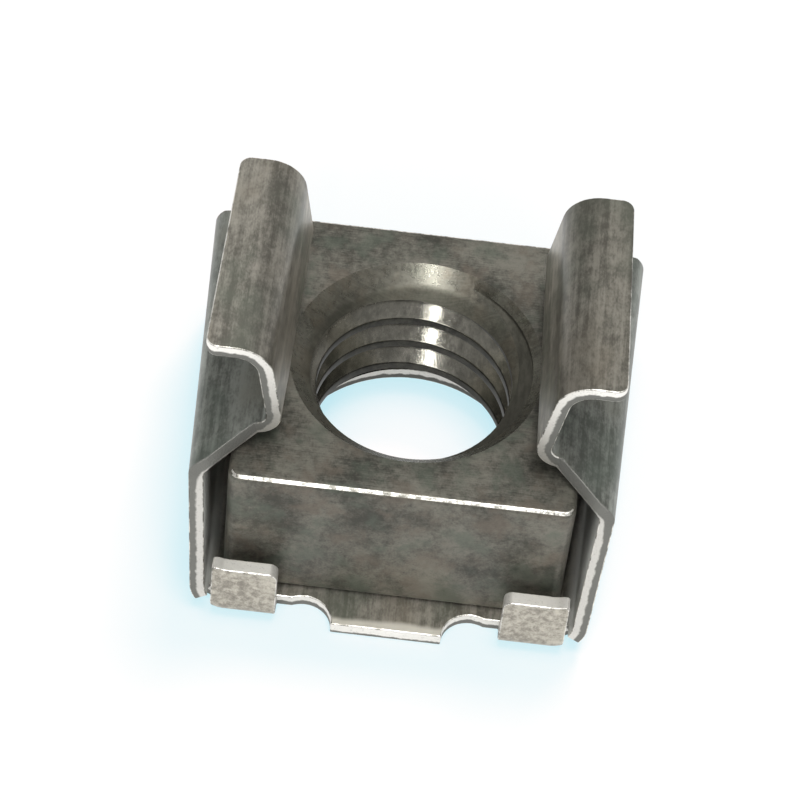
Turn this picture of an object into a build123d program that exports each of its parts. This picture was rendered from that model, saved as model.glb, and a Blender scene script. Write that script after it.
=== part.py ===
from build123d import *
import os

# Rack cage nut: a square nut held loosely in a cage folded from one strip of spring steel.
# All sizes are in millimetres. X runs from wall to wall and Y along the two ears.
# Z points up through the thread, and z = 0 is the underside of the cage floor.

# Square nut
nut_width = 11.5
nut_height = 5.8
nut_corner = 0.4            # radius of the four upright corners
nut_edge = 0.2              # rounding round the top and bottom faces
thread_minor = 6.647        # minor diameter of an M8 x 1.25 thread
entry_diameter = 8.6        # mouth of the 45 degree lead-in at each end of the thread

# Spring steel strip
strip = 0.5                 # sheet thickness
floor_bend = 0.7            # inside radius between floor and wall
shoulder_bend = 0.35        # inside radius between wall and shoulder
neck_bend = 0.4             # panel side radius between shoulder and ear
ear_bend = 0.8              # panel side radius under the flange

# Walls and shoulders
wall_lean = 0.3             # how far a wall leans out over its height
wall_flare = 0.04           # how far the walls open for each millimetre towards the back
shoulder_play = 0.12        # room between the nut and the shoulders above it
shoulder_rise = 0.31        # height that a shoulder gains for each millimetre inwards
wall_foot_depth = 13.6      # along Y, where a wall leaves the floor
wall_top_depth = 11.0       # along Y, where a wall meets its shoulder

# Ears, which pass through the square hole of the rack rail
neck_gap = 8.0              # between the ears at the sharp corner under the neck
ear_depth = 8.2             # along Y
ear_lean = 0.155            # outward lean for each millimetre of height
ear_toe = 0.025             # how far the ears close for each millimetre towards the back
panel_gap = 3.0             # between shoulder and flange, where the sheet of the rail sits
flange_span = 13.4          # across both flange tips, at their middle
flange_corner = 0.4         # plan radius of the flange corners

# Floor
floor_hole = 8.4            # clearance for the screw's tip
tab_play = 0.75             # between the nut and a corner tab, along Y
tab_bend = 0.3              # inside radius of a tab's fold
tab_height = 2.75           # top of a tab above the underside
tab_inner = 3.8             # distance of a tab's inner side from the middle
tab_outer = 6.0             # distance of a tab's outer side from the middle
tab_corner = 0.3            # radius of a tab's top corners
corner_slit = 0.12          # cut between a tab and the foot of the wall beside it
tongue_width = 3.75         # middle tongue, left flat between the tabs
tongue_reach = 0.1          # how far the tongue stands past the tabs' outer face
notch_depth = 1.0           # relief notch, from the tongue's end inwards

# Places that follow from the sizes
nut_half = nut_width / 2
nut_top = strip + nut_height
foot_x = nut_half - nut_edge + floor_bend + wall_flare * nut_half
shoulder_x = foot_x + wall_lean
shoulder_z = nut_top + shoulder_play - (shoulder_x - nut_half) * shoulder_rise
neck_x = neck_gap / 2
neck_z = shoulder_z + (shoulder_x - neck_x) * shoulder_rise
flange_z = neck_z + strip + panel_gap + strip
flange_x = neck_x + (flange_z - neck_z) * ear_lean
tip_x = flange_span / 2
tab_face = nut_half + tab_play
tab_back = tab_face + strip
tab_fold = tab_face - tab_bend
tongue_end = tab_back + tongue_reach
notch_radius = (tab_inner - tongue_width / 2) / 2
notch_x = tab_inner - notch_radius
floor_side = tab_inner      # the floor is one flat piece as far as the tabs
beyond = 2 * tongue_end     # long enough for any cutting tool
through = 4 * strip         # deep enough for a cut through the floor


# One side of the strip. Its inner line runs along the floor, up the wall and out to the flange tip.
# The sheet lies outside that line: below the floor, outside the wall and above the shoulder.
def side_section(y):
    flare = wall_flare * y
    toe = ear_toe * y
    wall = [(floor_side, strip), (foot_x + flare, strip), (shoulder_x + flare, shoulder_z)]
    ear = [(neck_x - toe, neck_z), (flange_x - toe, flange_z), (tip_x - toe, flange_z)]
    bends = [floor_bend, shoulder_bend, neck_bend + strip, ear_bend + strip]
    inner_line = FilletPolyline(*wall, *ear, radius=bends)
    outline = offset(inner_line, amount=strip, side=Side.RIGHT)
    return Plane(origin=(0, y, 0), x_dir=(1, 0, 0), z_dir=(0, -1, 0)) * make_face(outline)


# The whole strip before it is trimmed, as long as the tongues reach.
def folded_strip():
    floor = Pos(0, 0, strip / 2) * Box(2 * floor_side, 2 * tongue_end, strip)
    right_side = loft([side_section(-tongue_end), side_section(tongue_end)], ruled=True)
    return floor + right_side + mirror(right_side, Plane.YZ)


# Side view of the walls: deeper at the foot than at the shoulder.
def wall_zone(top):
    foot = wall_foot_depth / 2
    head = wall_top_depth / 2
    rear = [(foot, 0), (foot, strip), (head, top)]
    front = [(-y, z) for y, z in reversed(rear)]
    side_view = Polyline(*rear, *front, close=True)
    return extrude(Plane.YZ * make_face(side_view), amount=beyond, both=True)


# Plan view of the shoulders. They narrow from the walls to the ears, and their ends follow both.
def shoulder_zone(bottom, top):
    outer = wall_top_depth / 2
    inner = ear_depth / 2
    flare = wall_flare * outer
    toe = ear_toe * inner
    neck_side = neck_x + strip + neck_bend
    wall_side = shoulder_x - shoulder_bend / 2
    front = [(neck_side + toe, -inner), (wall_side - flare, -outer), (beyond, -outer)]
    rear = [(beyond, outer), (wall_side + flare, outer), (neck_side - toe, inner)]
    right = front + rear
    left = [(-x, y) for x, y in reversed(right)]
    plan = Polyline(*right, *left, close=True)
    return Pos(0, 0, bottom) * extrude(make_face(plan), amount=top - bottom)


# Plan view of the floor's middle, which runs past the walls as two tongues.
def tongue_zone():
    return Pos(0, 0, strip / 2) * Box(2 * notch_x, 2 * tongue_end, strip)


# Plan view of the ears, which ends beyond their tips.
def ear_zone(bottom):
    plan = Rectangle(2 * beyond, ear_depth)
    return Pos(0, 0, bottom) * extrude(plan, amount=flange_z + strip - bottom)


# One corner tab, folded up from the floor at its front right.
def corner_tab():
    fold_line = FilletPolyline(
        (-tab_fold + strip, strip), (-tab_face, strip), (-tab_face, tab_height), radius=tab_bend)
    side_view = Plane.YZ * make_face(offset(fold_line, amount=strip, side=Side.LEFT))
    tab = Pos(tab_inner, 0, 0) * extrude(side_view, amount=tab_outer - tab_inner)
    top_corners = tab.edges().filter_by(Axis.Y).group_by(Axis.Z)[-1]
    return fillet(top_corners, tab_corner)


# Everything cut out of the floor's front right corner: the tab's fold, the slit and the notch.
def corner_cut():
    fold_length = beyond - tab_fold
    fold_width = tab_outer + corner_slit - notch_x
    fold_place = Pos(notch_x + fold_width / 2, -tab_fold - fold_length / 2, 0)
    fold = fold_place * Box(fold_width, fold_length, through)
    notch_centre = tongue_end - notch_depth + notch_radius
    notch = Pos(notch_x, -notch_centre, 0) * Cylinder(notch_radius, through)
    return fold + notch


# The front right corner's shape, repeated at all four corners of the floor.
def four_corners(front_right):
    front_left = mirror(front_right, Plane.YZ)
    return [front_right, front_left, mirror(front_right, Plane.XZ), mirror(front_left, Plane.XZ)]


def make_cage():
    shoulder_start = shoulder_z - strip / 2
    ear_start = neck_z + strip + neck_bend
    blank = wall_zone(shoulder_start) + tongue_zone()
    blank += shoulder_zone(shoulder_start, ear_start) + ear_zone(ear_start)
    cage = (folded_strip() & blank) - Cylinder(floor_hole / 2, through)
    upright_edges = cage.edges().filter_by(Axis.Z)
    flange_corners = upright_edges.filter_by_position(Axis.Z, flange_z - strip, flange_z)
    cage = fillet(flange_corners, flange_corner)
    for corner in four_corners(corner_cut()):
        cage -= corner
    for corner in four_corners(corner_tab()):
        cage += corner
    return cage


def make_nut():
    block = Box(nut_width, nut_width, nut_height, align=(Align.CENTER, Align.CENTER, Align.MIN))
    block = fillet(block.edges().filter_by(Axis.Z), nut_corner)
    block = fillet(block.faces().filter_by(Axis.Z).edges(), nut_edge)
    entry_depth = (entry_diameter - thread_minor) / 2
    bore = Pos(0, 0, nut_height / 2) * Cylinder(thread_minor / 2, nut_height)
    lower_entry = Pos(0, 0, entry_depth / 2) * Cone(entry_diameter / 2, thread_minor / 2, entry_depth)
    upper_entry = mirror(lower_entry, Plane.XY.offset(nut_height / 2))
    return Pos(0, 0, strip) * (block - bore - lower_entry - upper_entry)


os.makedirs("parts", exist_ok=True)
export_step(make_cage(), "parts/cage.step")
export_step(make_nut(), "parts/square_nut.step")
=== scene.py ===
import bmesh
import bpy
import math
from mathutils import Matrix, Vector


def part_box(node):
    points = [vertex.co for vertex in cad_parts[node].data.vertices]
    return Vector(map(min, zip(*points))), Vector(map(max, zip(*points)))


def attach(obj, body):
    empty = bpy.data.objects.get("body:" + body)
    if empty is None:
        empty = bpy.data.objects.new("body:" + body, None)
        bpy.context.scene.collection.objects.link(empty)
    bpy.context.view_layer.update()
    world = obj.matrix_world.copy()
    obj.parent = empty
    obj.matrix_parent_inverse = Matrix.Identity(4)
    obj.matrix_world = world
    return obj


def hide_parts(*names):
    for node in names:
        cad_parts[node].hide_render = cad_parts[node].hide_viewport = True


# Rack cage nut: a square nut held in a cage folded from one strip of spring steel.
# Lengths are in metres and written as so many mm, except where a note says that they are in mm.
mm = 0.001

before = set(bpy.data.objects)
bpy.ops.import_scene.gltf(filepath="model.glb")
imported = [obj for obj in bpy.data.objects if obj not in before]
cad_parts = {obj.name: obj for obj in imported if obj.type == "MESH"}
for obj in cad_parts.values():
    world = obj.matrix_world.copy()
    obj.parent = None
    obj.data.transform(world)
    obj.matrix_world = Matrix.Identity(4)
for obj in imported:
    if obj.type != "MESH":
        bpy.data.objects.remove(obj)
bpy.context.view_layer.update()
print("frame loaded")


class Signal:
    # One node output. An expression on signals adds its Math nodes.
    def __init__(self, owner, socket):
        self.owner = owner
        self.socket = socket

    def combine(self, operation, *values, clamp=False):
        settings = {"operation": operation, "use_clamp": clamp}
        return self.owner.node("Math", settings, dict(enumerate(values)))

    def __add__(self, other):
        return self.combine("ADD", self, other)

    def __radd__(self, other):
        return self.combine("ADD", other, self)

    def __sub__(self, other):
        return self.combine("SUBTRACT", self, other)

    def __rsub__(self, other):
        return self.combine("SUBTRACT", other, self)

    def __mul__(self, other):
        return self.combine("MULTIPLY", self, other)

    def __rmul__(self, other):
        return self.combine("MULTIPLY", other, self)

    def __neg__(self):
        return self.combine("SUBTRACT", 0, self)

    def __abs__(self):
        return self.combine("ABSOLUTE", self)

    def clamped(self):
        return self.combine("MULTIPLY", self, 1, clamp=True)

    def ramp(self, low, high):
        # 0 below low and 1 above high, smooth between them
        settings = {"interpolation_type": "SMOOTHSTEP", "clamp": True}
        sockets = {"Value": self, "From Min": low, "From Max": high}
        return self.owner.node("MapRange", settings, sockets)

    def band(self, start, full, fade, end):
        # 1 from full to fade, 0 before start and past end
        return self.ramp(start, full) * (1 - self.ramp(fade, end))

    def swing(self, share):
        # How far a noise is from its middle, times a share
        return (self - 0.5) * share


class NodeTree:
    # The nodes of a material or a world, and the one method that adds them
    def __init__(self, owner):
        owner.use_nodes = True
        self.tree = owner.node_tree
        self.tree.nodes.clear()

    def node(self, kind, settings, sockets, output=0):
        made = self.tree.nodes.new("ShaderNode" + kind)
        for key, value in settings.items():
            setattr(made, key, value)
        for key, value in sockets.items():
            if isinstance(value, Signal):
                self.tree.links.new(value.socket, made.inputs[key])
            else:
                made.inputs[key].default_value = value
        return Signal(self, made.outputs[output]) if made.outputs else None


class Finish(NodeTree):
    # A material, with the colour and gloss that its function has built up so far
    def __init__(self, name, metallic=0.0, relief=0.0):
        self.material = bpy.data.materials.new(name)
        super().__init__(self.material)
        self.metallic = metallic
        self.relief = relief    # depth of its bumps

    def place(self, stretch=(1, 1, 1), turn=(0, 0, 0)):
        # Object coordinates in mm, stretched along each axis
        where = self.node("TexCoord", {}, {}, "Object")
        scale = [1 / mm / s for s in stretch]
        return self.node("Mapping", {}, {"Vector": where, "Rotation": turn, "Scale": scale})

    def axes(self):
        # x, y and z in mm
        split = self.node("SeparateXYZ", {}, {0: self.place()})
        return [Signal(self, socket) for socket in split.socket.node.outputs]

    def attribute(self, name):
        return self.node("Attribute", {"attribute_name": name}, {}, output=2)

    def noise(self, grain, detail, roughness, turn=(0, 0, 0)):
        # grain is its size along X, Y and Z in mm
        place = self.place(grain, turn)
        sockets = {"Vector": place, "Scale": 1.0, "Detail": detail, "Roughness": roughness}
        return self.node("TexNoise", {}, sockets)

    def blend(self, first, second, factor, blendType="MIX"):
        # Mix node on colours: its sockets 0, 6 and 7 are the factor and the two colours
        settings = {"data_type": "RGBA", "blend_type": blendType}
        return self.node("Mix", settings, {0: factor, 6: first, 7: second}, output=2)

    def cover(self, colour, mask):
        self.colour = self.blend(self.colour, colour, mask)

    def tint(self, colour, mask):
        self.colour = self.blend(self.colour, colour, mask, "MULTIPLY")

    def done(self):
        relief = {"Height": self.height, "Strength": 1.0, "Distance": self.relief}
        sockets = {"Base Color": self.colour, "Metallic": self.metallic,
                   "Roughness": self.roughness, "Normal": self.node("Bump", {}, relief)}
        shader = self.node("BsdfPrincipled", {}, sockets)
        self.node("OutputMaterial", {}, {"Surface": shader})
        return self.material


def rgb(red, green, blue):
    return (red, green, blue, 1.0)


def weighted(signals, shares):
    # The signals added up, each times its share
    parts = [share * signal for signal, share in zip(signals, shares) if share]
    total = parts[0]
    for part in parts[1:]:
        total = total + part
    return total


# Steel that was rolled or turned, so its grain runs one way
rolledPattern = {
    # size along X, Y and Z in mm, detail and roughness of each noise
    "streaks": ((0.22, 7.0, 0.22), 4.0, 0.65),
    "patches": ((2.5, 3.5, 2.5), 3.0, 0.5),
    "grain": ((0.06, 0.12, 0.06), 2.0, 0.5),
    "mottle": ((0.30, 0.50, 0.30), 3.0, 0.6),
    # share of each of the four in the shade and in the relief
    "shade": (0.35, 0.22, 0.15, 0.28), "height": (0.6, 0, 0.4, 0),
    # how far two of them move the roughness
    "grainGloss": 0.22, "streakGloss": 0.15,
}
tabLook = {
    "dark": rgb(0.220, 0.202, 0.170), "light": rgb(0.510, 0.480, 0.410),
    "contrast": (0.40, 0.60), "metallic": 0.7, "roughness": 0.42, "relief": 0.006 * mm,
}
# Rounded edges: real wear, and a painted highlight that makes them near white
wornHighlightLook = {
    "dark": rgb(0.150, 0.145, 0.125), "light": rgb(0.780, 0.760, 0.700),
    "contrast": (0.42, 0.56), "metallic": 0.85, "roughness": 0.36, "relief": 0.006 * mm,
}
# Painted shade: the thread's crests are nearly black, standing in for the shadow between the bore's
# highlights
crestShadeLook = {
    "dark": rgb(0.030, 0.030, 0.026), "light": rgb(0.075, 0.072, 0.060),
    "contrast": (0.38, 0.63), "metallic": 0.8, "roughness": 0.35, "relief": 0.0025 * mm,
}


def rolledSteel(name, look):
    finish = Finish(name, look["metallic"], look["relief"])
    names = ("streaks", "patches", "grain", "mottle")
    noises = [finish.noise(*rolledPattern[key]) for key in names]
    streaks, patches, grain = noises[:3]
    shade = weighted(noises, rolledPattern["shade"]).ramp(*look["contrast"])
    finish.colour = finish.blend(look["dark"], look["light"], shade)
    finish.roughness = (look["roughness"] + grain.swing(rolledPattern["grainGloss"])
                        + streaks.swing(rolledPattern["streakGloss"]))
    finish.height = weighted(noises, rolledPattern["height"])
    finish.patches = patches    # stains may follow them
    return finish


# The cage's sheet. Ranges with X, Y or Z in their names are places on the cage, in mm.
skinLook = {
    "dark": rgb(0.130, 0.122, 0.102), "light": rgb(0.325, 0.307, 0.262),
    "contrast": (0.405, 0.605), "metallic": 0.75, "roughness": 0.36, "relief": 0.006 * mm,
    "brown": rgb(0.200, 0.172, 0.132), "brownRange": (0.48, 0.72), "brownShare": 0.5,
    "green": rgb(0.150, 0.168, 0.132), "greenRange": (0.50, 0.70), "greenShare": 0.45,
    # painted shade: the sheet's outer side is darker and bluer
    "outer": rgb(0.74, 0.82, 0.86), "outerRange": (0.3, 0.7),
    # each tongue is lighter towards its end
    "lip": rgb(0.74, 0.71, 0.63), "lipY": (6.68, 6.92), "lipRagged": 0.3, "lipShare": 0.8,
    # painted shade: the right ear is a little darker
    "rightEarShade": rgb(0.75, 0.75, 0.74), "rightEarShadeX": (2, 4), "rightEarShadeZ": (9.8, 10.7),
    # painted light on the ears' inner faces, and painted shade on the bends above them
    "earFaceLight": rgb(1.35, 1.35, 1.35), "earFaceZ": (7.0, 7.8, 9.0, 9.9),
    "earBendShade": rgb(0.80, 0.80, 0.80), "earBendZ": (9.3, 10.2), "earBendX": (5.3, 6.0),
    # painted light: the steel beside the nut is lightened and made less metallic, so that the
    # narrow slots look lit
    "slotLight": rgb(0.74, 0.75, 0.71), "slotX": (5.7, 6.0), "slotZ": (0.5, 1.0, 5.8, 6.2),
    "slotShare": 0.8, "slotMetallic": 0.1,
}


def cageSkin(name, look):
    finish = rolledSteel(name, look)
    patches = finish.patches
    x, y, z = finish.axes()
    outer = finish.attribute("across").ramp(*look["outerRange"])
    inner = 1 - outer
    finish.cover(look["brown"], patches.ramp(*look["brownRange"]) * look["brownShare"])
    finish.cover(look["green"], (1 - patches).ramp(*look["greenRange"]) * look["greenShare"])
    # painted shade on the sheet's outer side
    finish.tint(look["outer"], outer)
    ragged = abs(y) + patches.swing(look["lipRagged"])
    finish.cover(look["lip"], ragged.ramp(*look["lipY"]) * look["lipShare"])
    # painted shade on the right ear
    finish.tint(look["rightEarShade"], x.ramp(*look["rightEarShadeX"]) * z.ramp(*look["rightEarShadeZ"]))
    # painted light on the ears' inner faces, painted shade on the bends above them
    finish.tint(look["earFaceLight"], z.band(*look["earFaceZ"]) * inner)
    nearEar = 1 - abs(x).ramp(*look["earBendX"])
    finish.tint(look["earBendShade"], z.ramp(*look["earBendZ"]) * nearEar * inner)
    # painted light in the slots beside the nut
    beside = abs(x).ramp(*look["slotX"]) * z.band(*look["slotZ"]) * inner
    finish.cover(look["slotLight"], beside * look["slotShare"])
    finish.metallic = look["metallic"] + beside * (look["slotMetallic"] - look["metallic"])
    return finish.done()


# The flanks and roots of the thread
threadLook = {
    "dark": rgb(0.165, 0.160, 0.136), "light": rgb(0.300, 0.288, 0.248),
    "contrast": (0.38, 0.63), "metallic": 0.9, "roughness": 0.17, "relief": 0.0025 * mm,
    # the first turn is rougher, and has painted shade, above this height in mm
    "dim": rgb(0.42, 0.42, 0.40), "dimZ": (4.75, 5.05), "dimRoughness": 0.36,
}


def threadTurns(name, look):
    finish = rolledSteel(name, look)
    x, y, z = finish.axes()
    # painted shade on the first turn, which is also rougher
    firstTurn = z.ramp(*look["dimZ"])
    finish.tint(look["dim"], firstTurn)
    finish.roughness = finish.roughness + firstTurn * look["dimRoughness"]
    return finish.done()


# Steel that was tumbled and has oxidised lightly: soft brown and green patches with dark pits
mottledPattern = {
    # size along X, Y and Z in mm, detail and roughness of each noise, and its turn
    "patches": ((2.2, 2.2, 2.2), 3.0, 0.55),
    "stains": ((1.3, 1.3, 1.3), 4.0, 0.6, (0.7, 0.4, 1.1)),
    "speckle": ((0.22, 0.22, 0.22), 3.0, 0.6),
    "pits": ((0.07, 0.07, 0.07), 2.0, 0.5),
    "scuffs": ((0.9, 0.05, 0.9), 2.0, 0.5, (0, 0, 0.3)),
    # share of each of the five in the shade and in the relief
    "shade": (0.46, 0, 0.26, 0.13, 0.15), "height": (0, 0, 0.5, 0.3, 0.2),
    "contrast": (0.38, 0.62), "brownRange": (0.50, 0.68), "greenRange": (0.50, 0.66),
    # how far two of them move the roughness
    "speckleGloss": 0.30, "stainGloss": 0.20,
}


def mottledSteel(name, look):
    finish = Finish(name, look["metallic"], look["relief"])
    names = ("patches", "stains", "speckle", "pits", "scuffs")
    noises = [finish.noise(*mottledPattern[key]) for key in names]
    stains, speckle = noises[1:3]
    shade = weighted(noises, mottledPattern["shade"]).ramp(*mottledPattern["contrast"])
    brownMask = stains.ramp(*mottledPattern["brownRange"])
    greenMask = (1 - stains).ramp(*mottledPattern["greenRange"])
    finish.colour = finish.blend(look["dark"], look["light"], shade)
    finish.cover(look["brown"], brownMask * look["stain"])
    finish.cover(look["green"], greenMask * look["stain"])
    finish.roughness = (look["roughness"] + speckle.swing(mottledPattern["speckleGloss"])
                        + stains.swing(mottledPattern["stainGloss"]))
    finish.height = weighted(noises, mottledPattern["height"])
    return finish


# The nut's outside. Ranges with X, Y or Z in their names are places on the nut, in mm.
nutLook = {
    "dark": rgb(0.044, 0.043, 0.035), "light": rgb(0.155, 0.148, 0.123),
    "brown": rgb(0.118, 0.097, 0.076), "green": rgb(0.078, 0.093, 0.072), "stain": 0.55,
    "metallic": 0.62, "roughness": 0.44, "relief": 0.008 * mm,
    # painted shade: the top is a little darker towards the front
    "front": rgb(0.78, 0.78, 0.77), "frontY": (-1, 4), "frontZ": (6.0, 6.3),
    # painted light: the sides are lighter low down beside the tabs, where the tabs shade them
    "nearTabLight": rgb(1.4, 1.4, 1.4), "nearTabX": (3.0, 4.2), "nearTabZ": (3.0, 4.6),
}


def nutSkin(name, look):
    finish = mottledSteel(name, look)
    x, y, z = finish.axes()
    # painted shade towards the front of the top
    finish.tint(look["front"], (-y).ramp(*look["frontY"]) * z.ramp(*look["frontZ"]))
    # painted light low down beside the tabs
    low = 1 - z.ramp(*look["nearTabZ"])
    finish.tint(look["nearTabLight"], abs(x).ramp(*look["nearTabX"]) * low)
    return finish.done()


# The lead-in at each end of the bore
entryLook = {
    "dark": rgb(0.105, 0.102, 0.084), "light": rgb(0.215, 0.208, 0.172),
    "brown": rgb(0.180, 0.145, 0.105), "green": rgb(0.140, 0.150, 0.118), "stain": 0.3,
    "metallic": 0.85, "roughness": 0.29, "relief": 0.008 * mm,
    # its deep end is rougher, and has painted shade, below this height in mm
    "deepShade": rgb(0.55, 0.55, 0.53), "dullZ": (5.60, 5.85), "dullRoughness": 0.32,
}


def leadIn(name, look):
    finish = mottledSteel(name, look)
    x, y, z = finish.axes()
    # painted shade at the deep end of the lead-in, which is also rougher
    deep = 1 - z.ramp(*look["dullZ"])
    finish.tint(look["deepShade"], deep)
    finish.roughness = finish.roughness + deep * look["dullRoughness"]
    return finish.done()


# A cut through the sheet: a bright burnished band, then a duller one where the steel tore
edgeLook = {
    # the second burnish colour is painted shade, for edges that are given little painted light
    "burnish": rgb(0.84, 0.82, 0.77), "shadedBurnish": rgb(0.34, 0.33, 0.30),
    "fracture": rgb(0.170, 0.170, 0.155), "metallic": 0.75, "roughness": 0.36, "relief": 0.02 * mm,
    # size in mm, detail and roughness of the noise that makes the torn band's border ragged
    "ragged": ((0.25, 0.25, 0.25), 3.0, 0.6), "raggedShare": 0.35,
    "tornRange": (0.44, 0.60), "tornRoughness": 0.22,
    "grain": ((0.07, 0.07, 0.07), 2.0, 0.5), "grainRange": (0.55, 0.8), "grainShare": 0.35,
}


def shearedSteel(name, look):
    finish = Finish(name, look["metallic"], look["relief"])
    # painted light on the cut edges: most on the floor and flange, least on the shoulders and neck
    edgeLight = finish.attribute("edgeLight").clamped()
    ragged = finish.attribute("across") + finish.noise(*look["ragged"]).swing(look["raggedShare"])
    torn = ragged.ramp(*look["tornRange"])
    grain = finish.noise(*look["grain"])
    finish.colour = finish.blend(look["shadedBurnish"], look["burnish"], edgeLight)
    finish.cover(look["fracture"], torn)
    finish.cover(look["fracture"], grain.ramp(*look["grainRange"]) * look["grainShare"])
    finish.roughness = look["roughness"] + torn * look["tornRoughness"]
    finish.height = grain * torn
    return finish.done()


skinSteel = cageSkin("rolledSpringSteel", skinLook)
cutSteel = shearedSteel("shearedEdge", edgeLook)
tabSteel = rolledSteel("pressedTab", tabLook).done()
nutSteel = nutSkin("nutSteel", nutLook)
threadSteel = threadTurns("threadSteel", threadLook)
entrySteel = leadIn("countersinkSteel", entryLook)
crestShadeSteel = rolledSteel("threadCrestShade", crestShadeLook).done()
wornHighlightSteel = rolledSteel("wornHighlightCorner", wornHighlightLook).done()
print("finishes made")


def allOf(bm):
    return bm.verts[:] + bm.edges[:] + bm.faces[:]


def roundOff(bm, geom, offset, segments, affect="EDGES", **options):
    return bmesh.ops.bevel(bm, geom=geom, offset=offset, segments=segments, affect=affect,
                           profile=0.5, material=-1, **options)


def report(name, bm):
    openEdges = sum(not e.is_manifold for e in bm.edges)
    print(name, "faces", len(bm.faces), "open edges", openEdges)


def finishPiece(bm, name, materials, smoothAngle=32):
    mesh = bpy.data.meshes.new(name)
    bm.to_mesh(mesh)
    bm.free()
    for material in materials:
        mesh.materials.append(material)
    for polygon in mesh.polygons:
        polygon.use_smooth = True
    mesh.set_sharp_from_angle(angle=math.radians(smoothAngle))
    piece = bpy.data.objects.new(name, mesh)
    bpy.context.scene.collection.objects.link(piece)
    return piece


# The cage is cut as a flat blank and then folded. Its sizes are in mm until the end.
cageSpec = {
    "sheet": 0.5, "smoothAngle": 18,
    # corners (x, z) of the strip's inner line at y = 0, and the radii of its four bends
    "foot": (6.48, 0.5), "shoulder": (6.78, 6.1007), "neck": (4.0, 6.9625),
    "flange": (4.62, 10.9625), "tip": (6.7, 10.9625), "bends": (0.7, 0.35, 0.9, 1.3),
    # how far the walls open and the ears close for each mm towards the back
    "wallFlare": 0.04, "earToe": 0.025,
    # floor, tongues and the notches beside them
    "hole": 4.2, "tongueHalf": 1.875, "tongueEnd": 7.1, "notchFloor": 6.1, "notchRadius": 0.9625,
    # tabs, and how far inside its fold a tab's foot lies level
    "tabInner": 3.8, "tabOuter": 6.0, "tabFold": 6.2, "tabBend": 0.3, "tabTop": 2.75,
    "tabCorner": 0.3, "tabLevel": 0.5,
    # outer side of the slit between a tab and the foot of the wall
    "slitOuter": 6.12,
    # half the strip's depth along Y at its foot, at the end of its first bend, at the top of the
    # wall and at the ear
    "footHalf": 6.735, "bendHalf": 6.64, "wallTopHalf": 5.5, "earHalf": 4.1, "flangeCorner": 0.4,
    # where the slanted cuts start and end: before and past the shoulder's bend, and on the shoulder
    "wallTopBefore": 0.05014, "shoulderPast": 0.3, "neckSide": 4.9,
    # rounding of all edges steeper than rimAngle, in degrees
    "arris": 0.035, "arrisSegments": 2, "rimAngle": 40, "holeSegments": 24, "cornerSegments": 10,
    # lines cut across the blank before it is folded
    "acrossFloor": (0.9, 2.6, 4.4, 5.3, 5.45, 5.6, 5.75, 5.9),
    "alongFloor": (0.8, 1.6, 2.4, 3.2, 4.5, 5.0, 5.9, 7.4, 8.0),
    "bendSteps": 10, "slitSteps": 4, "tabSteps": 6, "cutSpacing": 0.7,
    # how much wider the torn band of the edge is along the slanted cuts, fading over tearFade mm,
    # and how much narrower at the ends of the tongues and tabs
    "tearFade": 0.7, "shoulderTear": 0.42, "tongueTear": -0.22, "tabTear": -0.60, "endDepth": 0.1,
    # how much light is painted on the edge at each end of the runs, from the middle of the floor to
    # the tip; the low values are painted shade
    "edgeLight": (1.0, 0.62, 0.42, 0.38, 0.22, 0.26, 0.30, 0.62, 0.95, 1.0),
    # upward part of the normal, past which a face is the sheet's, and under which it is the edge's
    "sheetNormal": 0.95, "edgeNormal": 0.3,
    # play for comparing places, and for merging and cutting
    "near": 0.01, "tabSide": 0.1, "mergeDistance": 0.001, "cutDistance": 0.0005,
}
cageMaterials = [skinSteel, cutSteel, tabSteel, wornHighlightSteel]
sheetFace, edgeFace, tabFace, arrisFace = range(4)


def stripRuns(spec, y):
    # Straight runs and bends of the strip's inner line, from the middle of the floor to the tip
    flare = Vector((spec["wallFlare"] * y, 0))
    toe = Vector((spec["earToe"] * y, 0))
    corners = [Vector((0, spec["sheet"])), Vector(spec["foot"]) + flare,
               Vector(spec["shoulder"]) + flare, Vector(spec["neck"]) - toe,
               Vector(spec["flange"]) - toe, Vector(spec["tip"]) - toe]
    runs, here = [], corners[0]

    def addRun(start, heading, length, turn=0, radius=0):
        runs.append({"start": start, "heading": heading, "length": length,
                     "turn": turn, "radius": radius})

    for before, corner, after, radius in zip(corners, corners[1:], corners[2:], spec["bends"]):
        heading, leaving = (corner - before).normalized(), (after - corner).normalized()
        crossed = heading.x * leaving.y - heading.y * leaving.x
        turn = math.atan2(crossed, heading.dot(leaving))
        setback = radius * math.tan(abs(turn) / 2)
        start = corner - heading * setback
        addRun(here, heading, (start - here).length)
        addRun(start, heading, radius * abs(turn), turn, radius)
        here = corner + leaving * setback
    addRun(here, leaving, (corners[-1] - here).length)
    return runs


def alongRun(run, distance, depth):
    # The point at a distance along one run, and at a depth below the inner line
    heading, radius = run["heading"], run["radius"]
    outward = Vector((heading.y, -heading.x))
    if not run["turn"]:
        return run["start"] + heading * distance + outward * depth
    side = math.copysign(1, run["turn"])
    angle = side * distance / radius
    centre = run["start"] - outward * side * radius
    swung = Vector((outward.x * math.cos(angle) - outward.y * math.sin(angle),
                    outward.x * math.sin(angle) + outward.y * math.cos(angle)))
    return centre + swung * (side * radius + depth)


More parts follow.
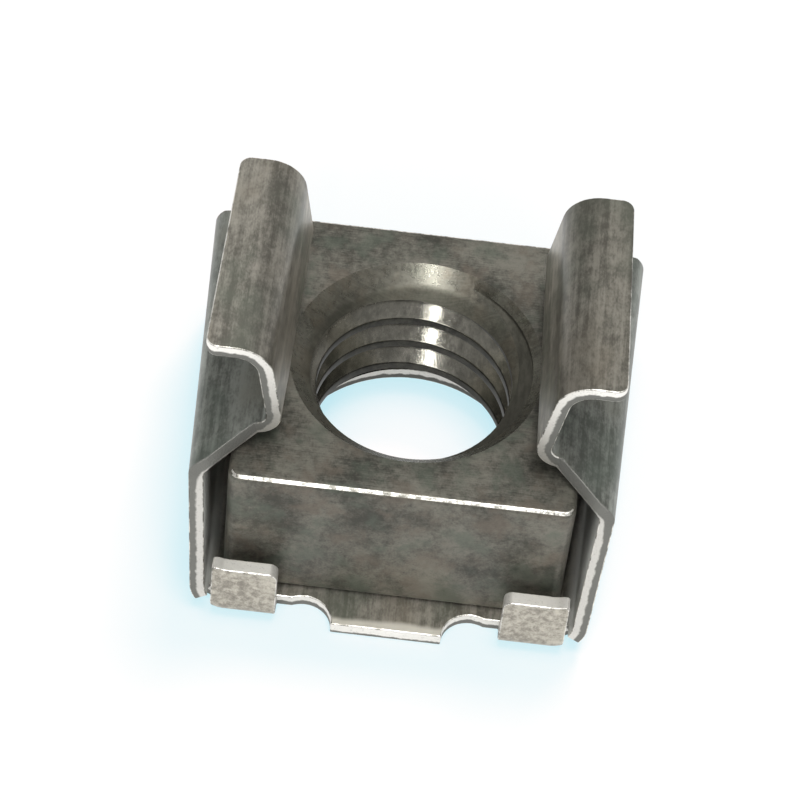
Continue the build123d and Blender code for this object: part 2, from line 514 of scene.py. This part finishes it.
def foldedFloor(spec, runs, s, y, depth):
    # The floor with its tabs. It starts to bend up beside the slits.
    bend, tabBend = spec["bends"][0], spec["tabBend"]
    swing = math.asin(max(0, s - runs[0]["length"]) / bend)
    lift = spec["sheet"] + bend * (1 - math.cos(swing))
    past = abs(y) - spec["tabFold"]
    insideSlit = s < spec["tabOuter"] + spec["near"]
    if past > 0 and insideSlit and s > spec["tabInner"] - spec["tabSide"]:
        curl = min(past / tabBend, math.pi / 2)
        rise = max(0, past - tabBend * math.pi / 2)
        reach = tabBend + depth
        out = spec["tabFold"] + reach * math.sin(curl)
        height = lift + tabBend - reach * math.cos(curl) + rise
        return Vector((s, math.copysign(out, y), height))
    if past > -spec["tabLevel"] and insideSlit:
        swing = 0
    return Vector((s + depth * math.sin(swing), y, lift - depth * math.cos(swing)))


def foldedSide(spec, runs, rest, s, y, depth):
    # Wall, shoulder, ear and flange. Each run at this y takes the place of the run at y = 0.
    bend, slit = spec["bends"][0], spec["slitOuter"]
    firstSwing = math.asin((slit - rest[0]["length"]) / bend)
    s -= slit - rest[0]["length"] - bend * firstSwing
    for index, (run, ideal) in enumerate(zip(runs, rest)):
        if s <= ideal["length"] or index == len(runs) - 1:
            break
        s -= ideal["length"]
    share = s / ideal["length"]
    if index == 1:
        # the slit has taken the start of the first bend
        begin = firstSwing * bend / ideal["length"]
        trueBegin = math.asin((slit - runs[0]["length"]) / bend) * bend / run["length"]
        share = trueBegin + (share - begin) / (1 - begin) * (1 - trueBegin)
    point = alongRun(run, share * run["length"], depth)
    return Vector((point.x, y, point.y))


def folded(spec, rest, flat):
    # Where a point of the flat blank comes to lie. rest holds the runs at y = 0.
    s, y, depth = abs(flat.x), flat.y, -flat.z
    runs = stripRuns(spec, y)
    if s <= spec["slitOuter"]:
        point = foldedFloor(spec, runs, s, y, depth)
    else:
        point = foldedSide(spec, runs, rest, s, y, depth)
    point.x *= math.copysign(1, flat.x)
    return point


def blankOutline(spec, rest):
    # One quarter of the flat blank, as corners (x, y) with the radius of their rounding
    marks = [0]
    for run in rest:
        marks.append(marks[-1] + run["length"])
    bendEnd, shoulderBend, shoulderEnd, tip = marks[2], marks[3], marks[5], marks[-1]
    neckStart = shoulderEnd - (spec["neckSide"] - alongRun(rest[5], 0, 0).x)
    radius, fold = spec["notchRadius"], spec["tabFold"]
    tilt = math.acos((radius + spec["notchFloor"] - fold) / radius)
    ease = radius * math.tan(tilt / 2)
    notchX = spec["tongueHalf"] + radius
    tabEnd = fold + spec["tabBend"] * math.pi / 2 + spec["tabTop"] - spec["sheet"] - spec["tabBend"]
    return [
        (spec["hole"], 0, 0), (tip, 0, 0), (tip, spec["earHalf"], spec["flangeCorner"]),
        (neckStart, spec["earHalf"], 0),
        (shoulderBend + spec["shoulderPast"], spec["wallTopHalf"], 0),
        (shoulderBend - spec["wallTopBefore"], spec["wallTopHalf"], 0),
        (bendEnd, spec["bendHalf"], 0),
        (spec["slitOuter"], spec["footHalf"], 0), (spec["slitOuter"], fold, 0),
        (spec["tabOuter"], fold, 0), (spec["tabOuter"], tabEnd, spec["tabCorner"]),
        (spec["tabInner"], tabEnd, spec["tabCorner"]), (spec["tabInner"], fold, 0),
        (notchX + radius * math.sin(tilt), fold, 0),
        (notchX + ease, spec["notchFloor"], ease),
        (spec["tongueHalf"], spec["notchFloor"], radius),
        (spec["tongueHalf"], spec["tongueEnd"], 0), (0, spec["tongueEnd"], 0),
        (0, spec["hole"], 0), (spec["hole"], spec["hole"], spec["hole"]),
    ], marks


def flatBlank(spec, rest):
    outline, marks = blankOutline(spec, rest)
    bm = bmesh.new()
    verts = [bm.verts.new((x, y, 0)) for x, y, rounding in outline]
    bm.faces.new(verts)
    for vert, (x, y, rounding) in zip(verts, outline):
        if rounding:
            isHole = rounding == spec["hole"]
            segments = spec["holeSegments"] if isHole else spec["cornerSegments"]
            roundOff(bm, [vert], rounding, segments, "VERTICES")
    # two roundings may end at the same point
    bmesh.ops.remove_doubles(bm, verts=bm.verts, dist=spec["mergeDistance"])
    for axis in ("X", "Y"):
        bmesh.ops.mirror(bm, geom=allOf(bm), axis=axis, merge_dist=spec["cutDistance"])
    bmesh.ops.recalc_face_normals(bm, faces=bm.faces)
    bmesh.ops.solidify(bm, geom=bm.faces[:], thickness=spec["sheet"])
    top = max(v.co.z for v in bm.verts)
    bmesh.ops.translate(bm, verts=bm.verts, vec=(0, 0, -top))
    bmesh.ops.recalc_face_normals(bm, faces=bm.faces)
    steep = math.radians(spec["rimAngle"])
    rims = [e for e in bm.edges if e.is_manifold and e.calc_face_angle(0) > steep]
    roundOff(bm, rims, spec["arris"], spec["arrisSegments"], clamp_overlap=False)
    return bm, marks


def crossCut(bm, spec, marks):
    # Lines across and along the blank, closer together where it bends
    across, along = list(spec["acrossFloor"]), list(spec["alongFloor"])
    for index in range(1, len(marks) - 1):
        first, last = marks[index], marks[index + 1]
        isBend = index % 2 == 1
        steps = spec["bendSteps"] if isBend else max(2, round((last - first) / spec["cutSpacing"]))
        inSlit = spec["slitSteps"] if index == 1 else 0
        across += [first + (last - first) * k / steps for k in range(inSlit, steps)]
    curl, steps = spec["tabBend"] * math.pi / 2, spec["tabSteps"]
    along += [spec["tabFold"] + curl * k / steps for k in range(1, steps + 1)]
    for axis, places in (((1, 0, 0), across), ((0, 1, 0), along)):
        for place in places:
            for side in (1, -1):
                bmesh.ops.bisect_plane(bm, geom=allOf(bm), dist=spec["cutDistance"],
                                       plane_co=Vector(axis) * place * side, plane_no=axis)


def alongMarks(marks, values, place):
    # The value at a place along the strip, straight between the marks
    for first, last, low, high in zip(marks, marks[1:], values, values[1:]):
        if place <= last:
            return low + (high - low) * (place - first) / (last - first)
    return values[-1]


def markEdges(bm, spec, marks):
    # Two attributes that the edge's finish reads
    across = bm.verts.layers.float.new("across")    # 0 on the sheet's inner side, 1 on its outer
    # the second attribute is how much light is painted on the cut steel
    edgeLight = bm.verts.layers.float.new("edgeLight")    # how bright the cut steel is
    near, fade, tongueEnd = spec["near"], spec["tearFade"], spec["tongueEnd"]
    for vert in bm.verts:
        s, y = abs(vert.co.x), abs(vert.co.y)
        fromWall = (s - marks[3]) / fade + 0.5
        fromNeck = (marks[5] - s) / fade + 0.5
        onShoulder = max(0, min(fromWall, fromNeck, 1))
        vert[edgeLight] = alongMarks(marks, spec["edgeLight"], s)
        vert[across] = -vert.co.z / spec["sheet"] + spec["shoulderTear"] * onShoulder
        if y > tongueEnd - spec["endDepth"] and s < spec["tongueHalf"] + near:
            vert[across] += spec["tongueTear"]
        elif y > tongueEnd + spec["endDepth"] and s < spec["tabOuter"] + near:
            vert[across] += spec["tabTear"]
        inSlit = spec["tabOuter"] - near < s < spec["slitOuter"] + near
        if inSlit and y < spec["tabFold"] + near:
            vert[across] += 1    # the slit is torn all through


def sortFaces(bm, spec, marks):
    # Which steel each face shows. The rounded edges are worn and carry a painted highlight, but not
    # on the shoulders.
    for face in bm.faces:
        upright = abs(face.normal.z)
        middle = face.calc_center_median()
        s, y = abs(middle.x), abs(middle.y)
        if upright < spec["edgeNormal"]:
            face.material_index = edgeFace
        elif upright <= spec["sheetNormal"]:
            face.material_index = edgeFace if marks[3] < s < marks[5] else arrisFace
        elif y > spec["tabFold"] and spec["tabInner"] < s < spec["tabOuter"]:
            face.material_index = tabFace
        else:
            face.material_index = sheetFace


def makeCage(spec):
    rest = stripRuns(spec, 0)
    bm, marks = flatBlank(spec, rest)
    crossCut(bm, spec, marks)
    bm.normal_update()
    markEdges(bm, spec, marks)
    sortFaces(bm, spec, marks)
    for vert in bm.verts:
        vert.co = folded(spec, rest, vert.co)
    bmesh.ops.scale(bm, verts=bm.verts, vec=(mm, mm, mm))
    report("cage", bm)
    return finishPiece(bm, "springCage", cageMaterials, spec["smoothAngle"])


cage = makeCage(cageSpec)
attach(cage, "root")
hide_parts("cage")
print("cage made")

nutSpec = {
    "cornerRadius": 0.4 * mm, "cornerSegments": 6,
    "edgeRadius": 0.2 * mm, "edgeSegments": 5,
    # upward part of the normal where the top rounding is worn and carries a painted highlight, and
    # the most it may face to a side
    "wornHighlightBand": (0.55, 0.94), "wornHighlightAside": 0.45,
    # thread, with the width of its crests and roots
    "major": 8.05 * mm, "minor": 6.647 * mm, "pitch": 1.25 * mm,
    "crest": 0.3125 * mm, "root": 0.156 * mm, "rounding": 0.05 * mm, "roundingSegments": 2,
    "lead": 0.2 * mm,        # how far up the thread is turned
    "crestBand": 0.02 * mm,  # a face within this of the minor diameter is a crest
    "stepsPerTurn": 72, "turns": 8, "turnsBelow": 1.5, "overrun": 0.3 * mm,
    # lead-in, and how far its cutter reaches outside the nut and into the bore
    "entry": 8.6 * mm, "entryOutside": 0.5 * mm, "entryInside": 1.3 * mm, "entrySegments": 96,
    # play for merging and cutting
    "tapMerge": 0.002 * mm, "nutMerge": 0.001 * mm, "capDistance": 0.00001 * mm,
}
nutMaterials = [nutSteel, wornHighlightSteel, threadSteel, entrySteel, crestShadeSteel]
plainFace, wornHighlightFace, threadFace, entryFace, crestFace = range(5)


def nutBlock(spec, low, high):
    bm = bmesh.new()
    size = high - low
    place = Matrix.Translation((low + high) / 2) @ Matrix.Diagonal((*size, 1))
    bmesh.ops.create_cube(bm, size=1, matrix=place)

    def isUpright(edge):
        return abs(edge.verts[0].co.z - edge.verts[1].co.z) > size.z / 2

    upright = [e for e in bm.edges if isUpright(e)]
    roundOff(bm, upright, spec["cornerRadius"], spec["cornerSegments"])
    rims = [e for e in bm.edges if not isUpright(e)]
    made = roundOff(bm, rims, spec["edgeRadius"], spec["edgeSegments"])
    bm.normal_update()
    highlightLow, highlightHigh = spec["wornHighlightBand"]
    for face in made["faces"]:
        onRim = highlightLow < face.normal.z < highlightHigh and abs(face.normal.x) < spec["wornHighlightAside"]
        face.material_index = wornHighlightFace if onRim else plainFace
    bmesh.ops.recalc_face_normals(bm, faces=bm.faces)
    return bm


def threadTap(spec, low, high):
    # One turn's profile, wound up into a screw that is longer than the nut and then cuts it
    bm = bmesh.new()
    minor, major, pitch = spec["minor"] / 2, spec["major"] / 2, spec["pitch"]
    crest, root, overrun = spec["crest"], spec["root"], spec["overrun"]
    flank = (pitch - crest - root) / 2
    bottom = low.z - spec["turnsBelow"] * pitch + spec["lead"]
    heights = [0, crest, crest + flank, crest + flank + root, pitch]
    radii = [minor, minor, major, major, minor]
    line = [bm.verts.new((r, 0, bottom + h)) for r, h in zip(radii, heights)]
    for pair in zip(line, line[1:]):
        bm.edges.new(pair)
    roundOff(bm, line[1:4], spec["rounding"], spec["roundingSegments"], "VERTICES")
    turns, stepsPerTurn = spec["turns"], spec["stepsPerTurn"]
    bmesh.ops.spin(bm, geom=bm.verts[:] + bm.edges[:], cent=(0, 0, 0), axis=(0, 0, 1),
                   dvec=(0, 0, pitch / stepsPerTurn), angle=2 * math.pi * turns,
                   steps=stepsPerTurn * turns, use_merge=False, use_duplicate=False)
    bmesh.ops.remove_doubles(bm, verts=bm.verts, dist=spec["tapMerge"])
    for z, up in ((low.z - overrun, -1), (high.z + overrun, 1)):
        bmesh.ops.bisect_plane(bm, geom=allOf(bm), dist=spec["capDistance"],
                               plane_co=(0, 0, z), plane_no=(0, 0, up), clear_outer=True)
    rim = [e for e in bm.edges if e.is_boundary]
    bmesh.ops.holes_fill(bm, edges=rim, sides=0)
    bmesh.ops.recalc_face_normals(bm, faces=bm.faces)
    for face in bm.faces:
        onCrest = face.calc_center_median().xy.length < minor + spec["crestBand"]
        face.material_index = crestFace if onCrest else threadFace
    report("tap", bm)
    return bm


def entryCone(spec, z, up):
    # 45 degree cutter for a lead-in. It starts outside the nut's face and ends inside the bore.
    bm = bmesh.new()
    outside, inside = spec["entryOutside"], spec["entryInside"]
    middle = z + up * (outside - inside) / 2
    mouth, tip = spec["entry"] / 2 + outside, spec["entry"] / 2 - inside
    flip = Matrix.Rotation(0 if up > 0 else math.pi, 4, "X")
    bmesh.ops.create_cone(bm, cap_ends=True, segments=spec["entrySegments"], radius1=tip,
                          radius2=mouth, depth=outside + inside,
                          matrix=Matrix.Translation((0, 0, middle)) @ flip)
    for face in bm.faces:
        face.material_index = entryFace
    return bm


def cutAway(bm, cutter):
    # Boolean difference of two closed meshes, as a new bmesh
    objects = []
    for source in (bm, cutter):
        mesh = bpy.data.meshes.new("work")
        source.to_mesh(mesh)
        source.free()
        for material in nutMaterials:
            mesh.materials.append(material)
        item = bpy.data.objects.new("work", mesh)
        bpy.context.scene.collection.objects.link(item)
        objects.append(item)
    body, tool = objects
    modifier = body.modifiers.new("cut", "BOOLEAN")
    modifier.operation = "DIFFERENCE"
    modifier.solver = "EXACT"
    modifier.object = tool
    bpy.context.view_layer.update()
    result = bmesh.new()
    result.from_object(body, bpy.context.evaluated_depsgraph_get())
    for item in objects:
        mesh = item.data
        bpy.data.objects.remove(item)
        bpy.data.meshes.remove(mesh)
    return result


def makeNut(spec):
    low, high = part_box("square_nut")
    bm = nutBlock(spec, low, high)
    bm = cutAway(bm, entryCone(spec, high.z, 1))
    bm = cutAway(bm, entryCone(spec, low.z, -1))
    bm = cutAway(bm, threadTap(spec, low, high))
    bmesh.ops.remove_doubles(bm, verts=bm.verts, dist=spec["nutMerge"])
    report("nut", bm)
    return finishPiece(bm, "squareNut", nutMaterials)


nut = makeNut(nutSpec)
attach(nut, "root")
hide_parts("square_nut")
print("nut made")

stageSpec = {
    "floorSize": 2.0, "floorDrop": 0.005 * mm, "floorCuts": 4,
    "floorColour": rgb(0.82, 0.81, 0.80),
    # what the camera sees of the floor where no light falls, and what the light adds to that
    "shadeGlow": rgb(0.43, 0.765, 0.856), "litShare": rgb(0.270, 0.114, 0.070),
    # the shade under the bore, where more light comes down, fading between these radii in mm
    "boreGlow": rgb(0.71, 0.87, 0.92), "boreRange": (1.0, 6.0),
    # what the steel mirrors of the floor
    "floorMirror": rgb(0.86, 0.88, 0.90), "mirrorShare": 0.8,
    "worldLevel": 0.53,
}


def makeFloor(spec):
    finish = Finish("paleFloor")
    plain = finish.node("BsdfDiffuse", {}, {"Color": spec["floorColour"]})
    mirrored = finish.node("Emission", {}, {"Color": spec["floorMirror"], "Strength": 1.0})
    lit = finish.node("BsdfDiffuse", {}, {"Color": spec["litShare"]})
    fromMiddle = finish.node("VectorMath", {"operation": "LENGTH"}, {0: finish.place()}, "Value")
    underBore = 1 - fromMiddle.ramp(*spec["boreRange"])
    shade = finish.blend(spec["shadeGlow"], spec["boreGlow"], underBore)
    glow = finish.node("Emission", {}, {"Color": shade, "Strength": 1.0})
    seen = finish.node("AddShader", {}, {0: lit, 1: glow})
    byCamera = finish.node("LightPath", {}, {}, "Is Camera Ray")
    byGloss = finish.node("LightPath", {}, {}, "Is Glossy Ray") * spec["mirrorShare"]
    unseen = finish.node("MixShader", {}, {0: byGloss, 1: plain, 2: mirrored})
    shader = finish.node("MixShader", {}, {0: byCamera, 1: unseen, 2: seen})
    finish.node("OutputMaterial", {}, {"Surface": shader})
    bm = bmesh.new()
    bmesh.ops.create_grid(bm, x_segments=spec["floorCuts"], y_segments=spec["floorCuts"],
                          size=spec["floorSize"] / 2)
    bmesh.ops.translate(bm, verts=bm.verts, vec=(0, 0, -spec["floorDrop"]))
    finishPiece(bm, "floor", [finish.material])


def makeWorld(spec):
    # White where the camera sees it, and dimmer as a light
    world = bpy.data.worlds.new("studio")
    bpy.context.scene.world = world
    sky = NodeTree(world)
    byCamera = sky.node("LightPath", {}, {}, "Is Camera Ray")
    levels = {"Value": byCamera, "To Min": spec["worldLevel"], "To Max": 1.0}
    strength = sky.node("MapRange", {}, levels)
    shader = sky.node("Background", {}, {"Strength": strength})
    sky.node("OutputWorld", {}, {"Surface": shader})


# Place, size and power of each lamp, and whether the steel mirrors it
lampSpec = {
    "keyLamp": ((0.02, -0.02, 0.36), (0.14, 0.14), 0.80, True),
    "fillLamp": ((-0.05, -0.33, 0.17), (0.16, 0.16), 0.46, True),
    "stripLamp": ((-0.016, -0.165, 0.24), (0.008, 0.15), 0.22, True),    # the bore's highlights
    # each reaches the steel beside the nut on the far side
    "leftSlotLamp": ((-0.15, -0.30, 0.20), (0.10, 0.10), 0.30, False),
    "rightSlotLamp": ((0.15, -0.30, 0.20), (0.10, 0.10), 0.30, False),
    # leaves the shadow in front
    "backLamp": ((0.05, 0.16, 0.30), (0.10, 0.10), 1.15, False),
}
lampAim = Vector((0, 0, 4 * mm))


def makeLamp(name, place, size, power, isMirrored):
    light = bpy.data.lights.new(name, "AREA")
    light.shape = "RECTANGLE"
    light.size, light.size_y = size
    light.energy = power
    lamp = bpy.data.objects.new(name, light)
    lamp.location = place
    lamp.rotation_euler = (lampAim - Vector(place)).to_track_quat("-Z", "Y").to_euler()
    lamp.visible_glossy = isMirrored
    bpy.context.scene.collection.objects.link(lamp)


makeFloor(stageSpec)
makeWorld(stageSpec)
for lampName, settings in lampSpec.items():
    makeLamp(lampName, *settings)
print("stage made")

cameraSpec = {
    "azimuth": 0.109, "elevation": 51.98, "roll": 6.693,    # in degrees
    "aim": (0, 0, 3 * mm), "distance": 120 * mm,
    "slideRight": -0.413 * mm, "slideUp": 0.642 * mm,
    "lens": 156.7, "sensor": 36, "clipStart": 5 * mm, "clipEnd": 10,
}


def makeCamera(spec):
    azimuth, elevation, roll = (math.radians(spec[k]) for k in ("azimuth", "elevation", "roll"))
    forward = Vector((math.sin(azimuth) * math.cos(elevation),
                      math.cos(azimuth) * math.cos(elevation), -math.sin(elevation)))
    right = Vector((math.cos(azimuth), -math.sin(azimuth), 0))
    up = right.cross(forward)
    data = bpy.data.cameras.new("camera")
    data.lens = spec["lens"]
    data.sensor_width = spec["sensor"]
    data.clip_start = spec["clipStart"]
    data.clip_end = spec["clipEnd"]
    camera = bpy.data.objects.new("camera", data)
    camera.location = (Vector(spec["aim"]) - spec["distance"] * forward
                       + spec["slideRight"] * right + spec["slideUp"] * up)
    side = math.cos(roll) * right + math.sin(roll) * up
    top = math.cos(roll) * up - math.sin(roll) * right
    camera.rotation_euler = Matrix((side, top, -forward)).transposed().to_euler()
    bpy.context.scene.collection.objects.link(camera)
    bpy.context.scene.camera = camera


makeCamera(cameraSpec)
bpy.context.scene.view_settings.view_transform = "Standard"
print("camera made")
